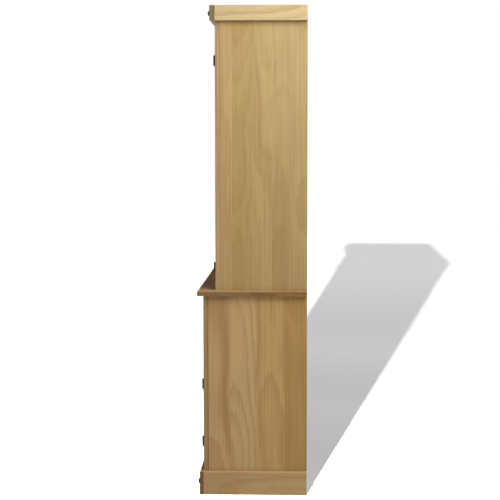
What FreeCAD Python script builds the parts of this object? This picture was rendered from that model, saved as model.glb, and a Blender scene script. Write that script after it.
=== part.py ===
import FreeCAD, Part

import math
import os

from FreeCAD import Vector

# Buffet and hutch in solid pine: a base with four drawers over two panelled doors, and a hutch with two
# glazed doors standing on its counter. Millimetres, +X to the viewer's right, +Y to the wall, +Z up.
# The origin is on the floor, in the middle of the whole piece's width and depth.

# Whole piece
overall_width = 900.0
overall_depth = 440.0
overall_height = 1960.0

# Boards shared by the base and the hutch
side_thickness = 18.0
face_frame_thickness = 18.0
stile_width = 45.0
dado_depth = 6.0
back_thickness = 6.0
back_rabbet = 9.0
back_board_count = 8
back_v_joint = 1.5
frame_rounding = 3.0
joint_chamfer = 1.2

# Base
counter_height = 830.0
counter_thickness = 22.0
counter_side_overhang = 20.0
counter_front_overhang = 24.0
counter_top_rounding = 8.0
counter_under_rounding = 2.0
plinth_height = 96.0
plinth_thickness = 15.0
plinth_rounding = 5.0
base_floor_thickness = 18.0
bottom_rail_height = 60.0
bottom_rail_show = 24.0
base_top_rail_height = 25.0
centre_stile_width = 45.0
partition_thickness = 18.0
drawer_opening = 108.0
drawer_rail_height = 20.0
drawer_rows = 2
cleat_size = 20.0

# Hutch
hutch_setback = 49.0
hutch_floor_thickness = 19.0
top_board_thickness = 18.0
top_rail_show = 86.0
cornice_height = 60.0
cornice_thickness = 20.0
cornice_rounding = 2.0

# Shelves and the pins that carry them
shelf_thickness = 16.0
shelf_end_play = 1.0
shelf_front_setback = 32.0
shelf_back_play = 2.0
shelf_rounding = 3.0
base_shelf_height = 185.0
hutch_shelf_count = 2
pin_radius = 2.5
pin_sink = 6.5
pin_reach = 9.0
pin_end_play = 0.5
pin_setback = 40.0
fastener_fit = 0.05

# Drawers and the runners, guides and stops that carry them
leaf_gap = 2.0
drawer_back_play = 40.0
drawer_side_drop = 22.0
drawer_wall = 12.0
drawer_side_play = 1.5
drawer_bottom_thickness = 5.0
drawer_bottom_rise = 8.0
drawer_groove = 5.0
drawer_front_rounding = 3.5
runner_play = 0.3
runner_thickness = 16.0
runner_reach = 14.0
runner_guide_height = 25.0
drawer_stop_height = 22.0
drawer_stop_depth = 18.0

# Base doors
base_door_member = 58.0
door_rounding = 2.5
door_moulding = 3.0
panel_groove = 9.0
panel_play = 0.5
panel_edge_thickness = 6.0
panel_edge_setback = 8.0
panel_field_setback = 2.5
panel_field_step = 1.5
panel_bevel = 30.0

# Hutch doors
hutch_door_member = 55.0
hutch_door_bottom_member = 75.0
glass_rabbet_width = 8.0
glass_rabbet_depth = 9.0
glass_thickness = 4.0
glass_play = 0.5
bar_width = 16.0
bar_setback = 3.0
bar_chamfer = 1.5
bar_columns = 1
bar_rows = 2

# Surface hinges
knuckle_radius = 4.5
knuckle_length = 40.0
knuckle_gap = 0.2
hinge_clearance = 0.3
hinge_pin_radius = 1.6
hinge_pin_head_radius = 2.8
hinge_pin_head_height = 1.5
hinge_leaf_thickness = 2.0
hinge_leaf_width = 28.0
hinge_leaf_bulge = 4.0
hinge_leaf_waist = 33.0
hinge_leaf_flare = 50.0
base_hinge_inset = 84.0
hutch_hinge_inset = 66.0

# Handles: a plate, two eye bolts with nuts and a swinging bail
plate_thickness = 2.0
bail_radius = 2.4
bail_fit = 0.08
bail_turn = 4.0
bail_corner = 9.0
bail_pin_overreach = 1.5
eye_wall = 1.9
eye_width = 5.0
eye_plate_gap = 0.6
eye_side_gap = 0.4
eye_rise = 7.0
shank_radius = 1.75
shank_tip = 1.0
nut_sides = 6
nut_radius = 4.0
nut_thickness = 3.5
drawer_eye_spacing = 60.0
drawer_bail_drop = 25.0
drawer_plate_length = 104.0
drawer_plate_height = 34.0
door_eye_spacing = 18.0
door_bail_drop = 40.0
door_plate_length = 108.0
door_plate_width = 38.0
plate_tip_length = 16.0
plate_tip_width = 14.0
door_handle_rise = 60.0
hutch_handle_drop = 40.0

# Magnetic catches
catch_width = 40.0
catch_depth = 15.0
catch_height = 13.0
catch_gap = 0.3
catch_inset = 12.0
strike_thickness = 1.0

# Iron studs
stud_radius = 12.5
stud_rise = 8.5
stud_inset = 37.0
stud_count = 5
stud_shank_radius = 1.5
stud_shank_length = 9.0

# Shared by every cut, and the distance within which two points count as one
overrun = 5.0
touching = 0.001

# Planes worked out from the sizes above
half_width = overall_width / 2
front_y = -overall_depth / 2
back_y = overall_depth / 2
back_inner_y = back_y - back_thickness
carcass_half = half_width - counter_side_overhang
inner_half = carcass_half - side_thickness
opening_half = carcass_half - stile_width
centre_half = centre_stile_width / 2
partition_half = partition_thickness / 2
base_face_y = front_y + counter_front_overhang
base_frame_y = base_face_y + face_frame_thickness
hutch_face_y = base_face_y + hutch_setback
hutch_frame_y = hutch_face_y + face_frame_thickness

# Levels worked out from the sizes above
counter_bottom = counter_height - counter_thickness
base_floor = plinth_height + bottom_rail_show
drawer_pitch = drawer_opening + drawer_rail_height
base_door_head = counter_bottom - base_top_rail_height - drawer_rows * drawer_pitch
drawer_sills = [base_door_head + drawer_rail_height + row * drawer_pitch for row in range(drawer_rows)]
hutch_floor = counter_height + hutch_floor_thickness
hutch_ceiling = overall_height - top_board_thickness
cornice_bottom = overall_height - cornice_height
hutch_door_head = cornice_bottom - top_rail_show
hutch_shelf_pitch = (hutch_ceiling - hutch_floor) / (hutch_shelf_count + 1)
hutch_shelf_levels = [hutch_floor + (i + 1) * hutch_shelf_pitch for i in range(hutch_shelf_count)]
base_shelf_level = base_floor + base_shelf_height

# Drawer and handle sizes worked out from the ones above
drawer_end_y = back_inner_y - drawer_back_play
eye_radius = bail_radius + bail_fit + eye_wall
eye_standoff = eye_radius + eye_plate_gap

SIDES = {"left": -1, "right": 1}
DRAWER_ROWS = ("lower", "upper", "third", "fourth")


def write(node, solids):
    """Writes one node's solids to its STEP file."""
    shape = solids[0] if len(solids) == 1 else Part.makeCompound(solids)
    shape.exportStep(f"parts/{node}.step")


def block(x, y, z):
    """A box between pairs of planes, each pair given in either order."""
    (x0, x1), (y0, y1), (z0, z1) = sorted(x), sorted(y), sorted(z)
    return Part.makeBox(x1 - x0, y1 - y0, z1 - z0, Vector(x0, y0, z0))


def grown(span, by):
    """A span made longer by the same length at both ends, or shorter where that is negative."""
    low, high = sorted(span)
    return (low - by, high + by)


def edges_on(shape, x=None, y=None, z=None):
    """The edges of a shape whose ends all lie on the given planes."""
    planes = [(axis, value) for axis, value in enumerate((x, y, z)) if value is not None]

    def lies(edge):
        return all(abs(v.Point[axis] - value) < touching for v in edge.Vertexes for axis, value in planes)

    return [edge for edge in shape.Edges if lies(edge)]


def rounded(shape, radius, *edge_groups):
    """A shape with the edges in these groups rounded."""
    return shape.makeFillet(radius, [edge for group in edge_groups for edge in group])


def mirrored(shape):
    """A shape's twin on the other side of the middle plane."""
    return shape.mirror(Vector(), Vector(1, 0, 0))


def taper(x, z, y, y_end, growth):
    """A four-sided frustum: the rectangle x by z at y, grown on every side by growth at y_end."""
    (y0, near), (y1, far) = sorted([(y, 0), (y_end, growth)])
    (x0, x1), (z0, z1) = grown(x, near), grown(z, near)
    (far_x0, far_x1), (far_z0, far_z1) = grown(x, far), grown(z, far)
    return Part.makeWedge(x0, y0, z0, far_z0, far_x0, x1, y1, z1, far_z1, far_x1)


def cylinder_x(radius, x, y, z):
    """A round bar along X between a pair of planes."""
    x0, x1 = sorted(x)
    return Part.makeCylinder(radius, x1 - x0, Vector(x0, y, z), Vector(1, 0, 0))


def cylinder_y(radius, x, y, z):
    """A round bar along Y between a pair of planes."""
    y0, y1 = sorted(y)
    return Part.makeCylinder(radius, y1 - y0, Vector(x, y0, z), Vector(0, 1, 0))


def cylinder_z(radius, x, y, z):
    """A round bar along Z between a pair of planes."""
    z0, z1 = sorted(z)
    return Part.makeCylinder(radius, z1 - z0, Vector(x, y, z0))


# Shelf pins: each shelf rests on four, two at each end

pin_rows_base = (base_frame_y + pin_setback, back_inner_y - pin_setback)
pin_rows_hutch = (hutch_frame_y + pin_setback, back_inner_y - pin_setback)


def pin_and_hole(wall_x, into, y, shelf_underside):
    """A pin that stands out of a wall, and its blind hole. into is +1 where the wall is at +X."""
    z = shelf_underside - pin_radius
    pin = cylinder_x(pin_radius, (wall_x - into * pin_reach, wall_x + into * pin_sink), y, z)
    hole_end = wall_x + into * (pin_sink + pin_end_play)
    hole = cylinder_x(pin_radius + fastener_fit, (wall_x - into * overrun, hole_end), y, z)
    return pin, hole


def pin_set(wall_x, into, rows, levels):
    """The pins and the holes of one wall."""
    pairs = [pin_and_hole(wall_x, into, y, level) for level in levels for y in rows]
    return [pin for pin, hole in pairs], [hole for pin, hole in pairs]


base_side_pins, base_side_holes = pin_set(inner_half, 1, pin_rows_base, [base_shelf_level])
partition_pins, partition_holes = pin_set(partition_half, -1, pin_rows_base, [base_shelf_level])
hutch_side_pins, hutch_side_holes = pin_set(inner_half, 1, pin_rows_hutch, hutch_shelf_levels)


# Carcass boards

def side_panel(frame_y, z, housed_board, holes):
    """The right-hand side: housed for a floor board, rabbeted for the back and bored for shelf pins."""
    panel = block((inner_half, carcass_half), (frame_y, back_y), z)
    panel = panel.makeChamfer(joint_chamfer, edges_on(panel, x=carcass_half, y=frame_y))
    rabbet_x = (inner_half - overrun, inner_half + back_rabbet)
    rabbet = block(rabbet_x, (back_inner_y, back_y + overrun), grown(z, overrun))
    return panel.cut(rabbet).cut(housed_board).cut(Part.makeCompound(holes))


def housed_floor(frame_y, z):
    """A floor board whose ends sit in the sides' housings."""
    return block(grown((-inner_half, inner_half), dado_depth), (frame_y, back_inner_y), z)


def back_boards(z):
    """Upright boards side by side in the sides' rabbets, with a V at every joint on both faces."""
    reach = inner_half + back_rabbet
    width = 2 * reach / back_board_count
    boards = []
    for i in range(back_board_count):
        left, right = -reach + i * width, -reach + (i + 1) * width
        board = block((left, right), (back_inner_y, back_y), z)
        joints = [x for x in (left, right) if abs(x) < reach - touching]
        sharp = [edge for x in joints for y in (back_inner_y, back_y) for edge in edges_on(board, x=x, y=y)]
        boards.append(board.makeChamfer(back_v_joint, sharp))
    return boards


base_floor_under = base_floor - base_floor_thickness
base_floor_board = housed_floor(base_frame_y, (base_floor_under, base_floor))
base_side = side_panel(base_frame_y, (0, counter_bottom), base_floor_board, base_side_holes)
partition_x = (-partition_half, partition_half)
partition = block(partition_x, (base_frame_y, back_inner_y), (base_floor, counter_bottom))
partition = partition.cut(Part.makeCompound(partition_holes + [mirrored(hole) for hole in partition_holes]))

hutch_floor_board = housed_floor(hutch_frame_y, (counter_height, hutch_floor))
hutch_side = side_panel(hutch_frame_y, (counter_height, hutch_ceiling), hutch_floor_board, hutch_side_holes)
top_board = block((-carcass_half, carcass_half), (hutch_face_y, back_y), (hutch_ceiling, overall_height))


def counter():
    """The counter, with a full round on its upper front and side edges and a slight one below."""
    board = block((-half_width, half_width), (front_y, back_y), (counter_bottom, counter_height))
    upper = [edges_on(board, y=front_y, z=counter_height)]
    upper += [edges_on(board, x=side * half_width, z=counter_height) for side in SIDES.values()]
    board = rounded(board, counter_top_rounding, *upper)
    under = [edges_on(board, y=front_y, z=counter_bottom)]
    under += [edges_on(board, x=side * half_width, z=counter_bottom) for side in SIDES.values()]
    return rounded(board, counter_under_rounding, *under)


def cleat():
    """The right-hand strip that the counter is screwed to from below."""
    x = (inner_half - cleat_size, inner_half)
    return block(x, (base_frame_y, back_inner_y), (counter_bottom - cleat_size, counter_bottom))


# Face frames

def outer_stile(face_y, frame_y, z):
    """The right-hand stile: a soft front corner, and a fine V where it meets the side panel."""
    stile = block((opening_half, carcass_half), (face_y, frame_y), z)
    stile = rounded(stile, frame_rounding, edges_on(stile, x=carcass_half, y=face_y))
    return stile.makeChamfer(joint_chamfer, edges_on(stile, x=carcass_half, y=frame_y))


def base_face_frame():
    """Three stiles, the top and bottom rails, and the rails under the drawers."""
    depth = (base_face_y, base_frame_y)
    stile = outer_stile(base_face_y, base_frame_y, (0, counter_bottom))
    top_rail = (counter_bottom - base_top_rail_height, counter_bottom)
    solids = [
        stile,
        mirrored(stile),
        block((-centre_half, centre_half), depth, (base_floor, counter_bottom - base_top_rail_height)),
        block((-opening_half, opening_half), depth, top_rail),
        block((-opening_half, opening_half), depth, (base_floor - bottom_rail_height, base_floor)),
    ]
    for sill in drawer_sills:
        rail = block((centre_half, opening_half), depth, (sill - drawer_rail_height, sill))
        solids += [rail, mirrored(rail)]
    return solids


def hutch_face_frame():
    """Two stiles, the deep top rail and the thin bottom rail."""
    depth = (hutch_face_y, hutch_frame_y)
    stile = outer_stile(hutch_face_y, hutch_frame_y, (counter_height, hutch_ceiling))
    top_rail = block((-opening_half, opening_half), depth, (hutch_door_head, hutch_ceiling))
    bottom_rail = block((-opening_half, opening_half), depth, (counter_height, hutch_floor))
    return [stile, mirrored(stile), top_rail, bottom_rail]


# Plinth, cornice and their studs

def stud_places():
    """The studs' places across the piece, the same on the plinth and the cornice."""
    reach = half_width - stud_inset
    return [-reach + 2 * reach * i / (stud_count - 1) for i in range(stud_count)]


def stud(x, face_y, z):
    """A domed iron stud on a board's face, with its nail."""
    ball = (stud_radius**2 + stud_rise**2) / (2 * stud_rise)
    rim_angle = math.degrees(math.asin((ball - stud_rise) / ball))
    centre = Vector(x, face_y + ball - stud_rise, z)
    dome = Part.makeSphere(ball, centre, Vector(0, -1, 0), rim_angle, 90, 360)
    nail = cylinder_y(stud_shank_radius, x, (face_y, face_y + stud_shank_length), z)
    return dome.fuse(nail).removeSplitter()


def stud_holes(face_y, z):
    """The pilot holes that one row of studs is driven into."""
    deep = (face_y - overrun, face_y + stud_shank_length)
    return [cylinder_y(stud_shank_radius + fastener_fit, x, deep, z) for x in stud_places()]


def planted_boards(frame_face_y, thickness, z, radius, soft_levels):
    """A front board across a face frame, bored for its studs, and the right-hand board that it covers the end
    of. Both are rounded along the levels in soft_levels."""
    outer, face_y = carcass_half + thickness, frame_face_y - thickness
    front = block((-outer, outer), (face_y, frame_face_y), z)
    groups = [edges_on(front, y=face_y, z=level) for level in soft_levels]
    groups += [edges_on(front, x=side * outer, z=level) for side in SIDES.values() for level in soft_levels]
    front = rounded(front, radius, *groups).cut(Part.makeCompound(stud_holes(face_y, sum(z) / 2)))
    side = block((carcass_half, outer), (frame_face_y, back_y), z)
    side = rounded(side, radius, *[edges_on(side, x=outer, z=level) for level in soft_levels])
    return front, side, [stud(x, face_y, sum(z) / 2) for x in stud_places()]


plinth_front, plinth_side, plinth_studs = planted_boards(
    base_face_y, plinth_thickness, (0, plinth_height), plinth_rounding, [plinth_height]
)
cornice_levels = (cornice_bottom, overall_height)
cornice_front, cornice_side, cornice_studs = planted_boards(
    hutch_face_y, cornice_thickness, cornice_levels, cornice_rounding, cornice_levels
)


# Shelves

def shelf(x, frame_y, underside):
    """A loose shelf with a softened front edge."""
    y = (frame_y + shelf_front_setback, back_inner_y - shelf_back_play)
    board = block(grown(x, -shelf_end_play), y, (underside, underside + shelf_thickness))
    return rounded(board, shelf_rounding, edges_on(board, y=y[0], z=underside + shelf_thickness))


base_shelf = shelf((partition_half, inner_half), base_frame_y, base_shelf_level)
hutch_shelves = [shelf((-inner_half, inner_half), hutch_frame_y, level) for level in hutch_shelf_levels]
shelf_pins = base_side_pins + partition_pins + hutch_side_pins


# Drawer runners

def runner(wall_x, edge_x, into, sill):
    """A ledge under a drawer's side, a guide beside it and a stop behind it. into is +1 for a wall at +X."""
    depth = (base_frame_y, back_inner_y)
    tip_x = edge_x - into * runner_reach
    stop_y = drawer_end_y + runner_play
    return [
        block((wall_x, tip_x), depth, (sill - runner_thickness, sill)),
        block((wall_x, edge_x), depth, (sill, sill + runner_guide_height)),
        block((edge_x, tip_x), (stop_y, stop_y + drawer_stop_depth), (sill, sill + drawer_stop_height)),
    ]


runners = [
    piece
    for sill in drawer_sills
    for piece in runner(inner_half, opening_half, 1, sill) + runner(partition_half, centre_half, -1, sill)
]


# Handles

def plate_outline(length, width, upright):
    """A long plate: straight flanks, then at each end hollow shoulders that run up to a point."""
    tip, body, flank = length / 2, length / 2 - plate_tip_length, width / 2
    neck, neck_end = plate_tip_width / 2, tip - plate_tip_length / 2
    hollow = ((flank + 3 * neck) / 4, (3 * body + neck_end) / 4)

    def at(across, along):
        return Vector(across, 0, along) if upright else Vector(along, 0, across)

    edges = []
    for end in (1, -1):
        near, far = end, -end
        edges += [
            Part.Arc(at(near * flank, end * body), at(near * hollow[0], end * hollow[1]),
                     at(near * neck, end * neck_end)).toShape(),
            Part.makeLine(at(near * neck, end * neck_end), at(0, end * tip)),
            Part.makeLine(at(0, end * tip), at(far * neck, end * neck_end)),
            Part.Arc(at(far * neck, end * neck_end), at(far * hollow[0], end * hollow[1]),
                     at(far * flank, end * body)).toShape(),
            Part.makeLine(at(far * flank, end * body), at(far * flank, -end * body)),
        ]
    return Part.Face(Part.Wire(edges))


def bail(x, pivot_y, pivot_z, eye_spacing, drop):
    """A drop handle of round iron, bent from one bar, whose turned-in ends pass through the two eyes."""
    leg_x = eye_spacing / 2 + eye_width / 2 + eye_side_gap + bail_turn
    tip_x = eye_spacing / 2 - eye_width / 2 - bail_pin_overreach
    bow = 1 - math.sqrt(2) / 2

    def at(across, down):
        return Vector(x + across, pivot_y, pivot_z - down)

    def half(side):
        pin_end, leg_top = at(side * (leg_x - bail_turn), 0), at(side * leg_x, bail_turn)
        leg_foot, foot_end = at(side * leg_x, drop - bail_corner), at(side * (leg_x - bail_corner), drop)
        turn_middle = at(side * (leg_x - bail_turn * bow), bail_turn * bow)
        corner_middle = at(side * (leg_x - bail_corner * bow), drop - bail_corner * bow)
        return [
            Part.makeLine(at(side * tip_x, 0), pin_end),
            Part.Arc(pin_end, turn_middle, leg_top).toShape(),
            Part.makeLine(leg_top, leg_foot),
            Part.Arc(leg_foot, corner_middle, foot_end).toShape(),
        ]

    foot = Part.makeLine(at(-leg_x + bail_corner, drop), at(leg_x - bail_corner, drop))
    path = Part.Wire(Part.__sortEdges__(half(-1) + [foot] + half(1)))
    section = Part.Wire(Part.makeCircle(bail_radius, at(-tip_x, 0), Vector(1, 0, 0)))
    return path.makePipeShell([section], True, False)


def eye_bolt(x, pivot_y, pivot_z, back_face_y):
    """An eye with a plain shank that passes through the plate and the wood."""
    width = (x - eye_width / 2, x + eye_width / 2)
    eye = cylinder_x(eye_radius, width, pivot_y, pivot_z)
    shank = cylinder_y(shank_radius, x, (pivot_y, back_face_y + nut_thickness + shank_tip), pivot_z)
    bore = cylinder_x(bail_radius + bail_fit, grown(width, overrun), pivot_y, pivot_z)
    return eye.fuse(shank).removeSplitter().cut(bore)


def nut(x, face_y, z):
    """A nut on the back of the wood."""
    turns = [math.tau * i / nut_sides for i in range(nut_sides)]
    corners = [Vector(x + nut_radius * math.cos(a), face_y, z + nut_radius * math.sin(a)) for a in turns]
    body = Part.Face(Part.makePolygon(corners + corners[:1])).extrude(Vector(0, nut_thickness, 0))
    through = grown((face_y, face_y + nut_thickness), overrun)
    return body.cut(cylinder_y(shank_radius + fastener_fit, x, through, z))


def handle(x, z, face_y, plate, eye_spacing, drop):
    """The fixed pieces, the bail and the holes in the wood of a handle whose plate is centred on x, z."""
    back_face_y = face_y + face_frame_thickness
    pivot_y = face_y - plate_thickness - eye_standoff
    pivot_z = z + eye_rise
    eyes = (x - eye_spacing / 2, x + eye_spacing / 2)
    through = grown((face_y - plate_thickness, back_face_y), overrun)
    holes = [cylinder_y(shank_radius + fastener_fit, eye, through, pivot_z) for eye in eyes]
    plate = plate.extrude(Vector(0, plate_thickness, 0))
    plate.translate(Vector(x, face_y - plate_thickness, z))
    fixed = [plate.cut(Part.makeCompound(holes))]
    fixed += [eye_bolt(eye, pivot_y, pivot_z, back_face_y) for eye in eyes]
    fixed += [nut(eye, back_face_y, pivot_z) for eye in eyes]
    return fixed, bail(x, pivot_y, pivot_z, eye_spacing, drop), holes


def drawer_handle(x, z, face_y):
    """A handle with its plate lying across a drawer's front."""
    plate = plate_outline(drawer_plate_length, drawer_plate_height, False)
    return handle(x, z, face_y, plate, drawer_eye_spacing, drawer_bail_drop)


def door_handle(x, z, face_y):
    """A handle with its plate standing on a door's stile."""
    plate = plate_outline(door_plate_length, door_plate_width, True)
    return handle(x, z, face_y, plate, door_eye_spacing, door_bail_drop)


# Drawers

def drawer(bay, sill):
    """A drawer's front, its box and its handle, for a bay given as a pair of planes."""
    front_x, front_z = grown(bay, -leaf_gap), grown((sill, sill + drawer_opening), -leaf_gap)
    box_x = grown(bay, -drawer_side_play)
    inner_x = grown(box_x, -drawer_wall)
    under = sill + runner_play
    floor_z = (under + drawer_bottom_rise, under + drawer_bottom_rise + drawer_bottom_thickness)
    wall_z = (under, sill + drawer_opening - drawer_side_drop)

    bottom = block(grown(inner_x, drawer_groove), (base_frame_y - drawer_groove, drawer_end_y), floor_z)
    walls = [block(pair, (base_frame_y, drawer_end_y), wall_z).cut(bottom) for pair in zip(box_x, inner_x)]
    back = block(inner_x, (drawer_end_y - drawer_wall, drawer_end_y), (floor_z[1], wall_z[1]))

    front = block(front_x, (base_face_y, base_frame_y), front_z)
    front = rounded(front, drawer_front_rounding, edges_on(front, y=base_face_y))
    fixed, swing, holes = drawer_handle(sum(bay) / 2, sum(front_z) / 2, base_face_y)
    front = front.cut(bottom).cut(Part.makeCompound(holes))
    return front, walls + [back, bottom], fixed, swing


# Doors

def framed(x, z, face_y, stile, top, bottom):
    """Two stiles and two rails with a softened outer edge and a small moulding round the opening."""
    (x0, x1), (z0, z1) = sorted(x), sorted(z)
    depth = (face_y, face_y + face_frame_thickness)
    blank = block(x, depth, z)
    blank = rounded(blank, door_rounding, edges_on(blank, y=face_y))
    inner_x, inner_z = (x0 + stile, x1 - stile), (z0 + bottom, z1 - top)
    reach = door_moulding + overrun
    moulding = taper(inner_x, inner_z, face_y + door_moulding, face_y - overrun, reach)
    members = [
        block((x0, inner_x[0]), depth, z),
        block((inner_x[1], x1), depth, z),
        block(inner_x, depth, (z0, inner_z[0])),
        block(inner_x, depth, (inner_z[1], z1)),
    ]
    return [member.common(blank).cut(moulding) for member in members], inner_x, inner_z


def raised_panel(x, z, face_y):
    """A panel with a thin edge for the groove, a wide bevel and a raised field."""
    edge_y = face_y + panel_edge_setback
    step_y = face_y + panel_field_setback + panel_field_step
    field_x, field_z = grown(x, -panel_bevel), grown(z, -panel_bevel)
    edge = block(
        grown(x, panel_groove - panel_play),
        (edge_y, edge_y + panel_edge_thickness),
        grown(z, panel_groove - panel_play),
    )
    bevel = taper(field_x, field_z, step_y, edge_y, panel_bevel)
    field = block(field_x, (face_y + panel_field_setback, step_y), field_z)
    return edge.fuse([bevel, field]).removeSplitter()


def glazing_bars(x, z, face_y):
    """Halved bars that divide the glass: the cross bars lap over the upright ones."""
    front, back = face_y + bar_setback, face_y + face_frame_thickness - glass_rabbet_depth
    middle = (front + back) / 2

    def spans(span, count):
        low, high = span
        centres = [low + (high - low) * (i + 1) / (count + 1) for i in range(count)]
        return [(centre - bar_width / 2, centre + bar_width / 2) for centre in centres]

    uprights, crosses = spans(x, bar_columns), spans(z, bar_rows)
    bars = []
    for across in uprights:
        bar = block(across, (front, back), z)
        corners = [edge for side in across for edge in edges_on(bar, x=side, y=front)]
        bar = bar.makeChamfer(bar_chamfer, corners)
        halvings = [block(grown(across, overrun), (front - overrun, middle), rise) for rise in crosses]
        bars.append(bar.cut(Part.makeCompound(halvings)))
    for rise in crosses:
        bar = block(x, (front, back), rise)
        corners = [edge for side in rise for edge in edges_on(bar, y=front, z=side)]
        bar = bar.makeChamfer(bar_chamfer, corners)
        halvings = [block(across, (middle, back + overrun), grown(rise, overrun)) for across in uprights]
        bars.append(bar.cut(Part.makeCompound(halvings)))
    return bars


def glazing_beads(x, z, glass_back_y, door_back_y):
    """Four strips that hold the glass in its rabbet from behind."""
    (x0, x1), (z0, z1) = x, z
    out_x, out_z = grown(x, glass_rabbet_width), grown(z, glass_rabbet_width)
    depth = (glass_back_y, door_back_y)
    return [
        block((out_x[0], x0), depth, out_z),
        block((x1, out_x[1]), depth, out_z),
        block(x, depth, (out_z[0], z0)),
        block(x, depth, (z1, out_z[1])),
    ]


# Hinges: a leaf with two knuckles on the frame, a leaf with one on the door, and a pin

def hinge_leaf(face_y, axis_x, centre_z, away):
    """A butterfly leaf that runs away from the axis, towards +X where away is +1."""
    half, waist, flare = knuckle_length / 2, hinge_leaf_waist / 2, hinge_leaf_flare / 2

    def at(out, up):
        return Vector(axis_x + away * out, face_y - hinge_leaf_thickness, centre_z + up)

    wide, bulge = hinge_leaf_width, hinge_leaf_width + hinge_leaf_bulge
    edges = [
        Part.makeLine(at(0, -half), at(0, half)),
        Part.Arc(at(0, half), at(wide / 2, waist), at(wide, flare)).toShape(),
        Part.Arc(at(wide, flare), at(bulge, 0), at(wide, -flare)).toShape(),
        Part.Arc(at(wide, -flare), at(wide / 2, -waist), at(0, -half)).toShape(),
    ]
    return Part.Face(Part.Wire(edges)).extrude(Vector(0, hinge_leaf_thickness, 0))


def hinge(axis_x, face_y, centre_z, away):
    """The frame's leaf, the door's leaf and the pin of one hinge. away is +1 where the frame is at +X."""
    axis_y = face_y - knuckle_radius - hinge_clearance
    low, high = centre_z - knuckle_length / 2, centre_z + knuckle_length / 2
    third = knuckle_length / 3
    door_z = (low + third, high - third)
    frame_zs = ((low, low + third), (high - third, high))
    sweep = knuckle_radius + hinge_clearance
    bore = cylinder_z(hinge_pin_radius + fastener_fit, axis_x, axis_y, grown((low, high), overrun))

    def knuckle(z):
        return cylinder_z(knuckle_radius, axis_x, axis_y, z)

    def room(z):
        return cylinder_z(sweep, axis_x, axis_y, z)

    frame_leaf = hinge_leaf(face_y, axis_x, centre_z, away).cut(room(grown(door_z, knuckle_gap / 2)))
    frame_leaf = frame_leaf.fuse([knuckle(grown(z, -knuckle_gap / 2)) for z in frame_zs]).cut(bore)
    door_leaf = hinge_leaf(face_y, axis_x, centre_z, -away)
    for z in frame_zs:
        door_leaf = door_leaf.cut(room(grown(z, knuckle_gap / 2)))
    door_leaf = door_leaf.fuse(knuckle(grown(door_z, -knuckle_gap / 2))).cut(bore)

    tip = low + knuckle_gap / 2, high - knuckle_gap / 2
    pin = cylinder_z(hinge_pin_radius, axis_x, axis_y, tip)
    for seat, way in ((tip[0], -1), (tip[1], 1)):
        head = cylinder_z(hinge_pin_head_radius, axis_x, axis_y, (seat, seat + way * hinge_pin_head_height))
        pin = pin.fuse(head)
    return frame_leaf.removeSplitter(), door_leaf.removeSplitter(), pin.removeSplitter()


# Magnetic catches: each stands on the floor board and meets a strike plate on the door's back

def catch(x, back_y_of_door, floor):
    """A catch and its strike plate, centred across on x."""
    across = (x - catch_width / 2, x + catch_width / 2)
    strike_y = back_y_of_door + strike_thickness
    catch_y = strike_y + catch_gap
    body = block(across, (catch_y, catch_y + catch_depth), (floor, floor + catch_height))
    strike = block(across, (back_y_of_door, strike_y), (floor + leaf_gap, floor + catch_height))
    return body, strike


def right_door(leaf_x, leaf_z, face_y, floor, stile, hinge_inset, handle_z):
    """The ironwork, the bail and the handle's holes of a right-hand door, with what stays on the frame."""
    near, far = sorted(leaf_x)
    axis_x = far + leaf_gap / 2
    hinges = [hinge(axis_x, face_y, z, 1) for z in (leaf_z[0] + hinge_inset, leaf_z[1] - hinge_inset)]
    fixed, swing, holes = door_handle(near + stile / 2, handle_z, face_y)
    body, strike = catch(near + catch_inset + catch_width / 2, face_y + face_frame_thickness, floor)
    ironwork = [leaf for _, leaf, _ in hinges] + fixed + [strike]
    return ironwork, swing, holes, [leaf for leaf, _, _ in hinges], [pin for _, _, pin in hinges], body


def base_door():
    """The right-hand base door: a frame round a raised panel."""
    leaf_x = grown((centre_half, opening_half), -leaf_gap)
    leaf_z = grown((base_floor, base_door_head), -leaf_gap)
    members, inner_x, inner_z = framed(
        leaf_x, leaf_z, base_face_y, base_door_member, base_door_member, base_door_member
    )
    groove_y = (base_face_y + panel_edge_setback, base_face_y + panel_edge_setback + panel_edge_thickness)
    groove = block(grown(inner_x, panel_groove), groove_y, grown(inner_z, panel_groove))
    handle_z = sum(leaf_z) / 2 + door_handle_rise
    ironwork, swing, holes, leaves, pins, body = right_door(
        leaf_x, leaf_z, base_face_y, base_floor, base_door_member, base_hinge_inset, handle_z
    )
    members = [member.cut(groove).cut(Part.makeCompound(holes)) for member in members]
    panel = raised_panel(inner_x, inner_z, base_face_y)
    return {"frame": members, "panel": [panel], "ironwork": ironwork, "bail": [swing]}, leaves, pins, body


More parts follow.
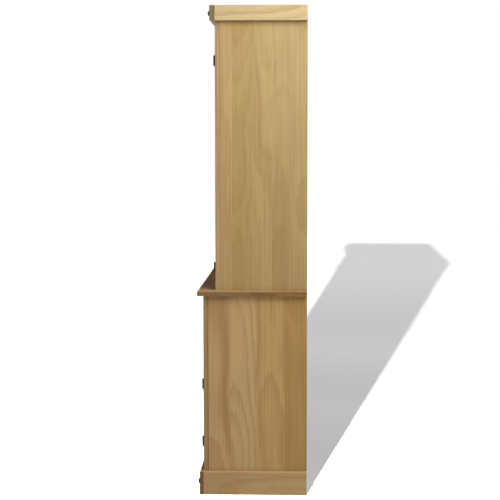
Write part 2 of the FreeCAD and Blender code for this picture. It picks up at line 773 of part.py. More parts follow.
def hutch_door():
    """The right-hand hutch door: a frame round one pane of glass with bars in front of it."""
    leaf_x = (leaf_gap / 2, opening_half - leaf_gap)
    leaf_z = grown((hutch_floor, hutch_door_head), -leaf_gap)
    members, inner_x, inner_z = framed(
        leaf_x, leaf_z, hutch_face_y, hutch_door_member, hutch_door_member, hutch_door_bottom_member
    )
    back = hutch_face_y + face_frame_thickness
    glass_y = back - glass_rabbet_depth
    out_x, out_z = grown(inner_x, glass_rabbet_width), grown(inner_z, glass_rabbet_width)
    rabbet = block(out_x, (glass_y, back + overrun), out_z)
    glass = block(grown(out_x, -glass_play), (glass_y, glass_y + glass_thickness), grown(out_z, -glass_play))
    handle_z = sum(leaf_z) / 2 - hutch_handle_drop
    ironwork, swing, holes, leaves, pins, body = right_door(
        leaf_x, leaf_z, hutch_face_y, hutch_floor, hutch_door_member, hutch_hinge_inset, handle_z
    )
    members = [member.cut(rabbet).cut(Part.makeCompound(holes)) for member in members]
    members += glazing_beads(inner_x, inner_z, glass_y + glass_thickness, back)
    bars = glazing_bars(inner_x, inner_z, hutch_face_y)
    pieces = {"frame": members, "glass": [glass], "bars": bars, "ironwork": ironwork, "bail": [swing]}
    return pieces, leaves, pins, body


# Every node is written to its own file

os.makedirs("parts", exist_ok=True)

write("base_side_right", [base_side])
write("base_side_left", [mirrored(base_side)])
write("base_floor_board", [base_floor_board])
write("base_partition", [partition])
write("base_back_boards", back_boards((base_floor_under, counter_bottom)))
write("base_face_frame", base_face_frame())
write("base_shelves", [base_shelf, mirrored(base_shelf)])
write("counter_cleats", [cleat(), mirrored(cleat())])
write("counter_top", [counter()])
write("drawer_runners", runners + [mirrored(piece) for piece in runners])
write("plinth_front", [plinth_front])
write("plinth_sides", [plinth_side, mirrored(plinth_side)])

write("hutch_side_right", [hutch_side])
write("hutch_side_left", [mirrored(hutch_side)])
write("hutch_floor_board", [hutch_floor_board])
write("hutch_top_board", [top_board])
write("hutch_back_boards", back_boards((counter_height, hutch_ceiling)))
write("hutch_face_frame", hutch_face_frame())
write("hutch_shelves", hutch_shelves)
write("cornice_front", [cornice_front])
write("cornice_sides", [cornice_side, mirrored(cornice_side)])

write("iron_studs", plinth_studs + cornice_studs)
write("shelf_pins", shelf_pins + [mirrored(pin) for pin in shelf_pins])

for row, sill in zip(DRAWER_ROWS, drawer_sills):
    front, box, fixed, swing = drawer((centre_half, opening_half), sill)
    for side, sign in SIDES.items():
        for name, solids in (("front", [front]), ("box", box), ("handle", fixed), ("bail", [swing])):
            placed = solids if sign > 0 else [mirrored(solid) for solid in solids]
            write(f"drawer_{row}_{side}_{name}", placed)

frame_leaves, frame_pins, catches = [], [], []
for storey, (pieces, leaves, pins, body) in (("base", base_door()), ("hutch", hutch_door())):
    for side, sign in SIDES.items():
        for name, solids in pieces.items():
            placed = solids if sign > 0 else [mirrored(solid) for solid in solids]
            write(f"{storey}_door_{side}_{name}", placed)
    frame_leaves += leaves + [mirrored(leaf) for leaf in leaves]
    frame_pins += pins + [mirrored(pin) for pin in pins]
    catches += [body, mirrored(body)]

write("frame_hinge_leaves", frame_leaves)
write("hinge_pins", frame_pins)
write("door_catches", catches)
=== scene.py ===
"""The looks of a buffet and hutch in waxed pine, with black iron fittings and glazed upper doors."""

import math

import bmesh
import bpy
import numpy as np
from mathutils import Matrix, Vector


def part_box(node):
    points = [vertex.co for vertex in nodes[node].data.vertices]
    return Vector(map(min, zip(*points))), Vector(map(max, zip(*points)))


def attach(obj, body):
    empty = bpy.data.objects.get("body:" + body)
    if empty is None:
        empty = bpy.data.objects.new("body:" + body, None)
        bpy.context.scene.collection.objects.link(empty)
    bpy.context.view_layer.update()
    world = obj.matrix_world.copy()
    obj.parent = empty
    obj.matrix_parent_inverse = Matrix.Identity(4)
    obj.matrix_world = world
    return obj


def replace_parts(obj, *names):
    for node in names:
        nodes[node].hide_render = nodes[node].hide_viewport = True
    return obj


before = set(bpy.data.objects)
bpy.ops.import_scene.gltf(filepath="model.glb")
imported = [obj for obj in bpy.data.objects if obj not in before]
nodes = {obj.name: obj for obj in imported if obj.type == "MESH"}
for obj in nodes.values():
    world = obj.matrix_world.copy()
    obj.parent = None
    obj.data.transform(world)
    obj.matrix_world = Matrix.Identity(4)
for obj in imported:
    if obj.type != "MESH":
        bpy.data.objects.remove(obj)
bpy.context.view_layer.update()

# Camera
# The viewer stands nearly five metres off the right-hand side, with the eye at shoulder height, and looks a
# little down, so the counter and the plinth show slivers of their tops.

camera = bpy.data.objects.new("camera", bpy.data.cameras.new("camera"))
bpy.context.scene.collection.objects.link(camera)
bpy.context.scene.camera = camera
camera.location = (5.4445, 0.2223, 1.4571)
looking_down, turned_back = math.radians(4.158), math.radians(1.946)
camera.rotation_euler = (math.pi / 2 - looking_down, 0, math.pi / 2 + turned_back)
camera.data.lens = 90.82
camera.data.shift_x, camera.data.shift_y = -0.03, -0.05
bpy.context.scene.view_settings.view_transform = "Standard"


# Floor and studio light
# A white studio: a pale floor with the cabinet's long grey shadow, and a white surround that the eye sees at
# full strength and that lights the wood only softly. Shader trees are written with the Signal class below.

class Signal:
    """A socket in a node tree. Operators add Math nodes, and node() adds any other node to the same tree."""

    def __init__(self, tree, socket=None):
        self.tree, self.socket = tree, socket

    def node(self, kind, inputs=None, out=0, stops=None, **settings):
        """Adds a node: its settings and ramp stops first, then the values or links of its inputs."""
        node = self.tree.nodes.new("ShaderNode" + kind)
        for setting, value in settings.items():
            setattr(node, setting, value)
        for i, (place, colour) in enumerate(stops or ()):
            stop = node.color_ramp.elements[i] if i < 2 else node.color_ramp.elements.new(place)
            stop.position, stop.color = place, (*colour, 1)
        for place, value in (inputs or {}).items():
            if isinstance(value, Signal):
                self.tree.links.new(value.socket, node.inputs[place])
            elif node.inputs[place].type == "RGBA":
                node.inputs[place].default_value = (*value, 1)
            else:
                node.inputs[place].default_value = value
        return Signal(self.tree, node.outputs[out] if len(node.outputs) else None)

    def also(self, out):
        """Another output of the node that this socket belongs to."""
        return Signal(self.tree, self.socket.node.outputs[out])

    def math(self, operation, *others, clamp=False):
        """A sum on this socket and up to two others."""
        return self.node("Math", dict(enumerate((self, *others))), operation=operation, use_clamp=clamp)

    def __add__(self, other):
        return self.math("ADD", other)

    def __sub__(self, other):
        return self.math("SUBTRACT", other)

    def __rsub__(self, other):
        return self.node("Math", {0: other, 1: self}, operation="SUBTRACT")

    def __mul__(self, other):
        return self.math("MULTIPLY", other)

    def __truediv__(self, other):
        return self.math("DIVIDE", other)

    def __pow__(self, other):
        return self.math("POWER", other)

    def __gt__(self, other):
        return self.math("GREATER_THAN", other)

    def __lt__(self, other):
        return self.math("LESS_THAN", other)

    __radd__, __rmul__ = __add__, __mul__

    def most(self, other):
        return self.math("MAXIMUM", other)

    def size(self):
        return self.math("ABSOLUTE")

    def rise(self, start, end, low=0.0, high=1.0):
        """A smooth step from low at start to high at end."""
        steps = {"Value": self, "From Min": start, "From Max": end, "To Min": low, "To Max": high}
        return self.node("MapRange", steps, interpolation_type="SMOOTHSTEP")

    def between(self, low, high):
        """A plain mix of two numbers or number sockets, by this socket."""
        return self.node("Mix", {0: self, 2: low, 3: high})

    def tint(self, low, high):
        """A mix of two colours by this socket."""
        return self.node("Mix", {0: self, 6: low, 7: high}, out=2, data_type="RGBA")

    def scaled(self, factor):
        """This colour, brighter or darker."""
        return self.node("VectorMath", {0: self, 3: factor}, operation="SCALE")

    def over(self, stain):
        """This colour under a stain, as their product."""
        mixed = {0: 1.0, 6: self, 7: stain}
        return self.node("Mix", mixed, out=2, data_type="RGBA", blend_type="MULTIPLY")


def paint(red, green, blue):
    """A colour given on the usual 0 to 255 scale, as Blender's linear numbers."""
    return tuple(((c / 255 + 0.055) / 1.055) ** 2.4 for c in (red, green, blue))


def new_material(name):
    """A material with an empty tree, as a Signal that adds its nodes."""
    material = bpy.data.materials.new(name)
    material.use_nodes = True
    material.node_tree.nodes.clear()
    return material, Signal(material.node_tree)


def surface_of(tree, shader):
    tree.node("OutputMaterial", {"Surface": shader})


def shaded(tree, colour, roughness, height=None, lift=0.0005, **fixed):
    """A Principled shader; height in 0 to 1 is raised by lift metres, and fixed holds constant sockets."""
    inputs = {"Base Color": colour, "Roughness": roughness}
    inputs.update({name.replace("_", " "): value for name, value in fixed.items()})
    if height is not None:
        inputs["Normal"] = tree.node("Bump", {"Height": height, "Distance": lift})
    return tree.node("BsdfPrincipled", inputs)


floor_reach = 60.0
turns = np.linspace(0, 2 * np.pi, 96, endpoint=False)
rim = np.stack([np.cos(turns), np.sin(turns), 0 * turns], 1) * floor_reach


def floor_disc(name):
    """A wide round floor, as its object and the tree of its material."""
    mesh = bpy.data.meshes.new(name)
    mesh.from_pydata(rim.tolist(), [], [list(range(len(rim)))])
    disc = bpy.data.objects.new(name, mesh)
    bpy.context.scene.collection.objects.link(disc)
    disc.visible_shadow = False
    material, tree = new_material(name)
    mesh.materials.append(material)
    return disc, tree


# The floor is two discs in one place: the first sends light back to the cabinet, and the eye sees the second.
# That one is part paper, which the shadow falls on, and part white of its own, in steps away from the middle.
floor_pale, paper_near, paper_far = (0.82, 0.82, 0.82), (0.48, 0.48, 0.48), (1.0, 1.0, 1.0)
lighting_floor, tree = floor_disc("lighting_floor")
lighting_floor.visible_camera = False
ray = tree.node("LightPath", out="Is Glossy Ray")
plain = tree.node("BsdfDiffuse", {"Color": floor_pale})
white = tree.node("Emission", {"Color": (1, 1, 1), "Strength": 1.0})
surface_of(tree, tree.node("MixShader", {0: ray.most(ray.also("Is Transmission Ray")), 1: plain, 2: white}))

seen_floor, tree = floor_disc("seen_floor")
seen_floor.visible_diffuse = seen_floor.visible_glossy = seen_floor.visible_transmission = False
place = tree.node("TexCoord", out="Object")
from_middle = tree.node("VectorMath", {0: place}, out="Value", operation="LENGTH")
paper = tree.node("BsdfDiffuse", {"Color": from_middle.rise(3.5, 8.0).tint(paper_near, paper_far)})
white = tree.node("Emission", {"Color": (1, 1, 1), "Strength": 1.0})
near_step, middle_step, far_step = (0.2, 1.4, 0.32, 0.41), (1.6, 3.2, 0.0, 0.11), (3.0, 9.0, 0.0, 0.08)
all_white_from, all_white_past = 11.0, 16.0
own_white = from_middle.rise(*near_step) + from_middle.rise(*middle_step) + from_middle.rise(*far_step)
own_white = own_white.most(from_middle.rise(all_white_from, all_white_past))
surface_of(tree, tree.node("MixShader", {0: own_white, 1: paper, 2: white}))

world = bpy.data.worlds.new("studio")
bpy.context.scene.world = world
world.use_nodes = True
world.node_tree.nodes.clear()
tree = Signal(world.node_tree)
ray = tree.node("LightPath", out="Is Camera Ray")
soft_light, mirrored_light = 0.11, 0.15
seen = ray.most(ray.also("Is Transmission Ray"))
strength = seen.between((ray.also("Is Glossy Ray")).between(soft_light, mirrored_light), 1.0)
tree.node("OutputWorld", {"Surface": tree.node("Background", {"Color": (1, 1, 1), "Strength": strength})})


def lamp(name, place, aim, width, height, power, spread=180, mirrored=True):
    """A soft box at a place, turned to face a point. A grid on its front narrows the spread of its light."""
    light = bpy.data.lights.new(name, "AREA")
    light.shape, light.size, light.size_y, light.energy = "RECTANGLE", width, height, power
    light.spread = math.radians(spread)
    box = bpy.data.objects.new(name, light)
    box.location = place
    box.rotation_euler = (Vector(aim) - Vector(place)).to_track_quat("-Z", "Y").to_euler()
    box.visible_glossy = box.visible_transmission = mirrored
    bpy.context.scene.collection.objects.link(box)


lamp("key", (2.1, 1.2, 3.05), (0.4, 0.1, 1.3), 1.4, 2.0, 75)
lamp("side_fill", (3.4, 2.2, 0.8), (0.45, 0.0, 0.6), 2.0, 1.2, 20)
lamp("front_fill", (-1.0, -4.2, 0.75), (-0.1, -0.2, 0.95), 1.8, 0.9, 8, spread=50, mirrored=False)
lamp("left_fill", (-4.0, 0.6, 1.2), (-0.4, 0.0, 1.0), 1.5, 2.0, 9, spread=50, mirrored=False)

# A small lamp beside the eye throws the long shadow. It reaches only the floor that the eye sees, as strongly
# far away as near.
shadow_power, shadow_lamp_radius, shadow_lamp_place = 300, 0.03, (5.44, -0.66, 3.02)
thrower = bpy.data.lights.new("shadow_lamp", "POINT")
thrower.energy, thrower.shadow_soft_size = shadow_power, shadow_lamp_radius
thrower.use_nodes = True
thrower.node_tree.nodes.clear()
tree = Signal(thrower.node_tree)
even = tree.node("LightFalloff", {"Strength": 1.0}, out="Constant")
tree.node("OutputLight", {"Surface": tree.node("Emission", {"Color": (1, 1, 1), "Strength": even})})
shadow_lamp = bpy.data.objects.new("shadow_lamp", thrower)
shadow_lamp.location = shadow_lamp_place
bpy.context.scene.collection.objects.link(shadow_lamp)
lit_by_it = bpy.data.collections.new("seen_floor_alone")
lit_by_it.objects.link(seen_floor)
shadow_lamp.light_linking.receiver_collection = lit_by_it


# Base sides and partition
# Each side is a panel glued up from four upright boards of solid pine, stained honey brown and waxed. The
# partition between the two cupboards is made the same way and left pale. Growth rings run through the wood's
# whole depth, so the same rings show on a board's face, edge and end.

pale_wood, rosy_wood = paint(196, 164, 110), paint(183, 146, 102)
late_wood, knot_wood, duct_wood = paint(150, 108, 62), paint(92, 56, 30), paint(120, 78, 44)
axis_of = {"x": 0, "y": 1, "z": 2}

# Sizes in metres. Each pair is a feature's reach across and along the board.
ring_width, ring_ripple = 0.0048, 0.003
broad_streak, narrow_streak, thin_streak = (0.034, 1.3), (0.0075, 0.5), (0.003, 0.3)
fibre_size, duct_size, ripple_size = (0.0009, 0.045), (0.0011, 0.011), (0.012, 0.12)
sway_size, lean_size, heart_sway, heart_lean = (0.25, 0.9), (0.3, 0.6), 0.035, 0.03
heart_aside, heart_least_depth, heart_spare_depth = 0.11, 0.012, 0.085
knot_spacing, knot_share, knot_least, knot_spare, knot_ring = 0.31, 0.22, 0.004, 0.006, 0.0011
knot_edge_size, knot_edge_depth, parting_reach, parting_push = (0.008, 0.008), 0.003, 0.034, 0.013
seam_half, seam_fade, seam_tone, back_face_y, pore_depth = 0.0008, 0.0026, 0.62, 0.219, 0.00035


def sorted_into(place, joints, middles):
    """Which board a place falls in, counted from 0, and the middle of that board."""
    index, middle = place * 0.0, place * 0.0 + middles[0]
    for joint, before, after in zip(joints, middles, middles[1:]):
        past = place > joint
        index, middle = index + past, middle + past * (after - before)
    return index, middle


def glued_up(edges):
    """The joints and middles of boards glued edge to edge, from the edges of all of them in order."""
    return edges[1:-1], [(low + high) / 2 for low, high in zip(edges, edges[1:])]


def multiply(one, other):
    """Two colours laid over each other, as a stain over wood."""
    return tuple(a * b for a, b in zip(one, other))


def pine(name, lie, rows, seed, tint=(1.0, 1.0, 1.0), uprights=(), differ=(), knots=1.0, figure=1.0,
         rough=0.56, tones=(), seams=(), fade=None, ends=0.43, edges=-0.07, nails=None):
    """Waxed pine. lie names the axes along, across and through a board. rows holds the joints and middles of
    the boards side by side. uprights are x and z spans in which level rails give way to upright members.
    differ lists levels past which the boards are other ones, and tones the colour of each board beside the
    others. Wax has darkened the seams. fade is two heights and the tints there, a change of colour with height
    that is painted light and shade on the hutch sides and the counter. ends is how bright end grain is, and
    edges how much paler the arrises are, or how much darker below 0. Paler arrises are a painted highlight.
    nails are rows, half a spacing and a radius."""
    material, tree = new_material(name)
    place = tree.node("TexCoord", out="Object")
    split = tree.node("SeparateXYZ", {0: place})
    xyz = [split, split.also(1), split.also(2)]
    facing = tree.node("SeparateXYZ", {0: tree.node("TexCoord", out="Normal")})
    faces = [facing.size(), facing.also(1).size(), facing.also(2).size()]
    along, across, deep = (xyz[axis_of[letter]] for letter in lie)
    board, middle = sorted_into(across, *rows)
    end_face = faces[axis_of[lie[0]]]
    if uprights:
        inside, upright_middle, count = across * 0.0, across * 0.0, across * 0.0
        for i, (x_low, x_high, z_low, z_high) in enumerate(uprights):
            here = (xyz[0] > x_low) * (xyz[0] < x_high) * (xyz[2] > z_low) * (xyz[2] < z_high)
            inside = inside + here
            upright_middle = upright_middle + here * ((x_low + x_high) / 2)
            count = count + here * (len(rows[1]) + i)
        along, across = inside.between(xyz[0], xyz[2]), inside.between(xyz[2], xyz[0])
        middle = inside.between(middle, upright_middle)
        board = inside.between(board, count)
        end_face = inside.between(faces[0], faces[2])
    for i, (letter, level) in enumerate(differ):
        board = board + (xyz[axis_of[letter]] > level) * (17.0 * (i + 1))
    chance = tree.node("TexWhiteNoise", {"W": board * 1.37 + seed}, noise_dimensions="1D", out="Color")
    one = tree.node("SeparateColor", {0: chance})
    two, three = one.also(1), one.also(2)

    def grain_noise(reach, detail, part):
        """Noise drawn out along the grain, by its reach across and along the board."""
        wide, long = reach
        spread = tree.node("CombineXYZ", {0: across / wide, 1: deep / wide, 2: along / long})
        return tree.node("TexNoise", {"Vector": spread, "W": board * 3.1 + (seed + part), "Scale": 1.0,
                                      "Detail": detail, "Roughness": 0.55}, noise_dimensions="4D")

    # Knots: now and then a branch runs through the board, and the rings part around it
    knot_place = tree.node("CombineXYZ", {0: across / knot_spacing, 1: along / knot_spacing,
                                          2: board * 5.0 + seed})
    cell = tree.node("TexVoronoi", {"Vector": knot_place, "Scale": 1.0, "Randomness": 0.9},
                     voronoi_dimensions="2D", out="Color")
    kind = tree.node("SeparateColor", {0: cell})
    away = tree.node("VectorMath", {0: knot_place, 1: cell.also("Position")}, operation="SUBTRACT")
    off = tree.node("SeparateXYZ", {0: away})
    off_across, off_along = off * knot_spacing, off.also(1) * knot_spacing
    present = (kind < knot_share * knots) * 1.0
    knot_radius = kind.also(1) * knot_spare + knot_least
    ragged = grain_noise(knot_edge_size, 2.0, 7.0) * knot_edge_depth
    knot_way = (off_across ** 2.0 + (off_along * 0.8) ** 2.0) ** 0.5 + ragged
    knot = present * (knot_way / knot_radius).rise(1.15, 0.85)
    parting = present * ((off_across ** 2.0 + (off_along * 0.42) ** 2.0) ** 0.5).rise(parting_reach, 0.0)

    # Rings: the distance from the tree's heart, which wanders and leans a little along the board
    sway = grain_noise(sway_size, 2.0, 1.0) - 0.5
    lean = grain_noise(lean_size, 1.0, 2.0) - 0.5
    from_heart = across - middle + (one - 0.5) * heart_aside + sway * heart_sway
    below_face = deep + (two * heart_spare_depth + heart_least_depth) + lean * heart_lean
    heart_way = (from_heart ** 2.0 + below_face ** 2.0) ** 0.5
    ripple = (grain_noise(ripple_size, 2.0, 3.0) - 0.5) * ring_ripple
    ring_way = heart_way + along * ((three - 0.5) * 0.034) + ripple + parting * parting_push
    uneven = tree.node("TexNoise", {"W": ring_way * 60.0 + seed, "Scale": 1.0, "Detail": 1.0},
                       noise_dimensions="1D")
    years = tree.node("TexNoise", {"W": ring_way * 48.0 + seed * 1.7, "Scale": 1.0, "Detail": 2.0},
                      noise_dimensions="1D")
    phase = (ring_way / ring_width + uneven * 1.6).math("FRACT")
    late = phase.rise(0.25, 0.9) * phase.rise(1.0, 0.93)
    late = late * (uneven * 0.9 + 0.35)

    # Colour: each board has its own tone, with broad and narrow streaks, fine fibres and dark resin ducts
    broad = grain_noise(broad_streak, 3.0, 4.0) - 0.5
    narrow = grain_noise(narrow_streak, 2.0, 5.0) - 0.5
    thin = grain_noise(thin_streak, 1.0, 9.0) - 0.5
    fibre = grain_noise(fibre_size, 1.0, 6.0) - 0.5
    ducts = grain_noise(duct_size, 0.0, 8.0).rise(0.73, 0.8)
    warmth = (two * 0.5 + broad * 1.3 + narrow + (thin * 0.6 + 0.25)).math("MULTIPLY", 1.0, clamp=True)
    colour = warmth.tint(pale_wood, rosy_wood)
    colour = (late * (0.3 * figure)).tint(colour, late_wood)
    colour = (years.rise(0.5, 0.74) * (0.42 * figure)).tint(colour, late_wood)
    colour = (ducts * 0.5).tint(colour, duct_wood)
    shade = 1.0 + (one - 0.5) * 0.08 + broad * 0.28 + narrow * 0.52 + thin * 0.42 + fibre * 0.14
    colour = colour.scaled(shade)
    knot_rings = (knot_way / knot_ring).math("SINE") * 0.25 + 0.75
    colour = (knot * 0.85).tint(colour, knot_wood).scaled(knot.between(1.0 - parting * 0.10, knot_rings))
    end_cut = end_face.rise(0.55, 0.9)
    colour = colour.scaled(end_cut.between(1.0, ends))
    flat = faces[0].most(faces[1]).most(faces[2])
    arris = flat.rise(0.995, 0.93) * (facing.also(2) > -0.1)
    # edges above 0 paint a highlight on the arrises, and below 0 they darken them.
    colour = colour.scaled(1.0 + arris * edges)
    for letter, level in seams:
        seam_way = (xyz[axis_of[letter]] - level).size()
        colour = colour.scaled(seam_way.rise(seam_half, seam_fade, seam_tone, 1.0))
    if nails:
        levels, spread, nail_radius = nails
        row_way = (xyz[2] - levels[0]).size()
        for level in levels[1:]:
            row_way = row_way.math("MINIMUM", (xyz[2] - level).size())
        nail_way = (((across - middle).size() - spread) ** 2.0 + row_way ** 2.0) ** 0.5
        nailed = nail_way.rise(nail_radius, nail_radius * 0.85) * (xyz[1] > back_face_y)
        colour = nailed.tint(colour, (0.05, 0.045, 0.04))
    # fade paints a change of colour with height. On the hutch sides and the counter it is painted light and
    # shade.
    if fade:
        low, high, low_tint, high_tint = fade
        colour = colour.over(xyz[2].rise(low, high).tint(low_tint, high_tint))
    tone = tint
    for joint, before, after in zip(rows[0], tones, tones[1:]):
        tone = (across > joint).tint(multiply(tint, before) if tone is tint else tone, multiply(tint, after))
    height = late * 0.35 + fibre * 0.5 - ducts * 0.3 + narrow * 0.2
    roughness = rough + fibre * 0.12 + end_cut * 0.15 - late * 0.06
    surface_of(tree, shaded(tree, colour.over(tone), roughness, height, pore_depth, Specular_IOR_Level=0.14))
    return material


def dress(material, *names):
    """Gives a finish to pieces that keep their own shape."""
    for name in names:
        for slot in nodes[name].material_slots:
            slot.material = material


side_boards = glued_up([-0.178, -0.088, 0.015, 0.131, 0.22])
base_side_tint, inner_tint = (1.03, 1.01, 0.99), (1.1, 1.16, 1.26)
base_side_tones = ((1.05, 1.1, 1.14), (1.02, 1.06, 1.12), (1.0, 1.0, 0.92), (0.91, 0.92, 0.77))
front_seam = ("y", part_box("base_side_right")[0].y)
dress(pine("base_side_pine", "zyx", side_boards, 3.0, base_side_tint, differ=[("x", 0.0)], knots=0.0,
           figure=1.25, tones=base_side_tones, seams=[front_seam]), "base_side_left", "base_side_right")
dress(pine("partition_pine", "zyx", side_boards, 4.0, inner_tint, rough=0.62), "base_partition")

# Base floor, shelves, cleats and runners
# Level boards glued up in the same way run from side to side, and narrow battens run from front to back under
# the counter and beside each drawer. They are planed and left without stain.

level_boards = glued_up([-0.178, -0.07, 0.02, 0.12, 0.22])
dress(pine("base_floor_pine", "xyz", level_boards, 7.0, inner_tint, rough=0.6), "base_floor_board")
dress(pine("base_shelf_pine", "xyz", level_boards, 8.0, inner_tint, differ=[("x", 0.0)], rough=0.62),
      "base_shelves")
dress(pine("batten_pine", "yxz", glued_up([-0.43, -0.2, 0.0, 0.2, 0.43]), 9.0, inner_tint,
           differ=[("z", 0.6)], knots=0.0, rough=0.65), "counter_cleats", "drawer_runners")

# Back boards
# Eight thin upright boards with a V at every joint close the back of the base, and eight more close the back
# of the hutch. They are nailed to the shelves, rails and floors with small flat-headed nails.

back_count, back_reach = 8, 0.421
back_width = 2 * back_reach / back_count
back_edges = [-back_reach + back_width * i for i in range(back_count + 1)]
hutch_floor_z, hutch_top_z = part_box("hutch_floor_board")[0].z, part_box("hutch_top_board")[0].z
counter_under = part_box("counter_top")[0].z
nail_rows = (0.111, 0.313, 0.539, counter_under - 0.01, hutch_floor_z + 0.009,
             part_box("hutch_shelves")[0].z + 0.008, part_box("hutch_shelves")[1].z - 0.008, hutch_top_z - 0.009)
dress(pine("back_pine", "zxy", glued_up(back_edges), 10.0, (1.05, 1.08, 1.12), differ=[("z", counter_under)],
           rough=0.64, nails=(nail_rows, 0.032, 0.0021)), "base_back_boards", "hutch_back_boards")

# Base face frame
# Stiles and rails of inch board stand in front of the carcass. The outer stiles run from the floor to the
# counter, and the rails between them part the two rows of drawers and the doors.

everywhere = (-1.0, 3.0)
outer_stiles = ((-0.44, -0.385, *everywhere), (0.385, 0.44, *everywhere))
base_stiles = (*outer_stiles, (-0.0225, 0.0225, 0.12, counter_under - 0.025))
upper_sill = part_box("drawer_upper_left_front")[0].z
base_rails = ([0.3, 0.6, upper_sill + 0.04], [0.09, 0.537, upper_sill - 0.012, counter_under - 0.0125])
dress(pine("base_frame_pine", "xzy", base_rails, 11.0, (0.88, 0.85, 0.79), base_stiles, knots=0.5,
           seams=[front_seam]), "base_face_frame")

# Plinth
# Three planted boards with a rounded top edge wrap the foot of the base. The front board covers the ends of
# the side boards, so its own end grain shows from the side. The top edges are painted paler, a painted
# highlight where the rounded edge catches the light.

# edges=0.2 on both plinth materials paints a highlight on the rounded top edges.
dress(pine("plinth_front_pine", "xzy", ([], [0.05]), 19.0, (0.98, 0.92, 0.85), edges=0.2), "plinth_front")
dress(pine("plinth_side_pine", "yzx", ([], [0.05]), 23.0, (1.04, 1.06, 1.13), differ=[("x", 0.0)], knots=0.0,
           figure=0.7, edges=0.2), "plinth_sides")

# Counter
# The counter is glued up from four long boards and stands out in front and at both sides. Its top is painted
# darker and greyer, which is painted shade, and its upper arris paler, which is a painted highlight. Its end
# grain shows at the sides.

counter_boards = glued_up([-0.22, -0.12, -0.01, 0.1, 0.22])
counter_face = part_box("counter_top")[1].z
# The top face's darker grey tint is painted shade, and edges=0.32 paints a highlight on the upper arris.
painted_shade_on_top = (counter_face - 0.009, counter_face - 0.001, (1.0, 0.95, 0.89), (0.91, 0.93, 0.97))
dress(pine("counter_pine", "xyz", counter_boards, 17.0, (1.0, 0.96, 0.9), rough=0.52, fade=painted_shade_on_top,
           ends=0.55, edges=0.32), "counter_top")

# Hutch sides
# The same glued-up panels as the base sides, from five boards. Steel pins in small holes carry the shelves.

hutch_side_boards = glued_up([-0.129, -0.079, 0.0, 0.08, 0.148, 0.22])
hutch_side_tones = ((1.035, 1.085, 1.09), (0.92, 0.95, 0.9), (1.03, 1.1, 1.12), (0.94, 1.0, 1.05),
                    (1.0, 1.1, 1.15))
# The hutch sides are painted paler and cooler towards the head, and darker and warmer towards the foot. This is
# painted light, as if lit from above.
painted_light_from_above = (0.8, 1.95, (0.95, 0.92, 0.88), (1.07, 1.11, 1.12))
hutch_seam = ("y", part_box("hutch_side_right")[0].y)
dress(pine("hutch_side_pine", "zyx", hutch_side_boards, 5.0, (1.0, 1.0, 0.98), differ=[("x", 0.0)], knots=0.0,
           figure=0.7, tones=hutch_side_tones, seams=[hutch_seam], fade=painted_light_from_above),
      "hutch_side_left", "hutch_side_right")

# Hutch floor, top and shelves
# Level boards like those of the base. The loose shelves lie on steel pins behind the glass.

hutch_inner_tint = (1.04, 1.08, 1.12)
dress(pine("hutch_board_pine", "xyz", level_boards, 12.0, hutch_inner_tint, differ=[("z", 1.0)], rough=0.58),
      "hutch_floor_board", "hutch_top_board")
dress(pine("hutch_shelf_pine", "xyz", level_boards, 14.0, hutch_inner_tint, differ=[("z", 1.4)], rough=0.58),
      "hutch_shelves")

# Hutch face frame
# Two stiles and two rails in front of the hutch's sides, a little paler than the base's frame.

dress(pine("hutch_frame_pine", "xzy", ([1.3], [0.83, 1.878]), 13.0, (1.07, 1.19, 1.42), outer_stiles,
           knots=0.5), "hutch_face_frame")

# Cornice
# Three planted boards wrap the head of the hutch, cut from paler wood than the rest.

corner_seam = ("y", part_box("cornice_sides")[0].y)
dress(pine("cornice_front_pine", "xzy", ([], [1.93]), 29.0, (1.12, 1.28, 1.5), seams=[corner_seam]),
      "cornice_front")
dress(pine("cornice_side_pine", "yzx", ([], [1.93]), 33.0, (1.34, 1.62, 1.9), differ=[("x", 0.0)], knots=0.0,
           figure=1.3, seams=[corner_seam]), "cornice_sides")

# Drawers
# Each front is one board with softened edges. The box behind it is thin pale pine: sides and bottom that
# slide on the runners, and a back let in between the sides.

drawer_rows, drawer_columns = ("lower", "upper"), ("left", "right")
drawers = [f"drawer_{row}_{column}" for row in drawer_rows for column in drawer_columns]
front_rows = ([upper_sill - 0.01], [upper_sill - 0.076, upper_sill + 0.052])
dress(pine("drawer_front_pine", "xzy", front_rows, 37.0, differ=[("x", 0.0)], rough=0.54),
      *[drawer + "_front" for drawer in drawers])
dress(pine("drawer_box_pine", "yxz", glued_up([-0.4, -0.36, -0.05, 0.0, 0.05, 0.36, 0.4]), 41.0, inner_tint,
           differ=[("z", 0.65)], knots=0.3, rough=0.66), *[drawer + "_box" for drawer in drawers])

# Base doors
# A frame of stiles and rails holds a raised panel, glued up from three boards, that floats in a groove.

sides = ("left", "right")
base_doors = ["base_door_" + side for side in sides]
base_door_stiles = tuple((x, x + 0.058, *everywhere) for x in (-0.383, -0.0825, 0.0245, 0.325))
dress(pine("base_door_pine", "xzy", ([0.32], [0.151, 0.496]), 43.0, (0.97, 0.96, 0.94), base_door_stiles,
           differ=[("x", 0.0)], knots=0.6), *[door + "_frame" for door in base_doors])
dress(pine("door_panel_pine", "zxy", glued_up([-0.334, -0.245, -0.16, 0.0, 0.16, 0.245, 0.334]), 47.0),
      *[door + "_panel" for door in base_doors])

# Hutch doors
# Taller frames of the same kind hold a pane of glass behind one upright and two level glazing bars.

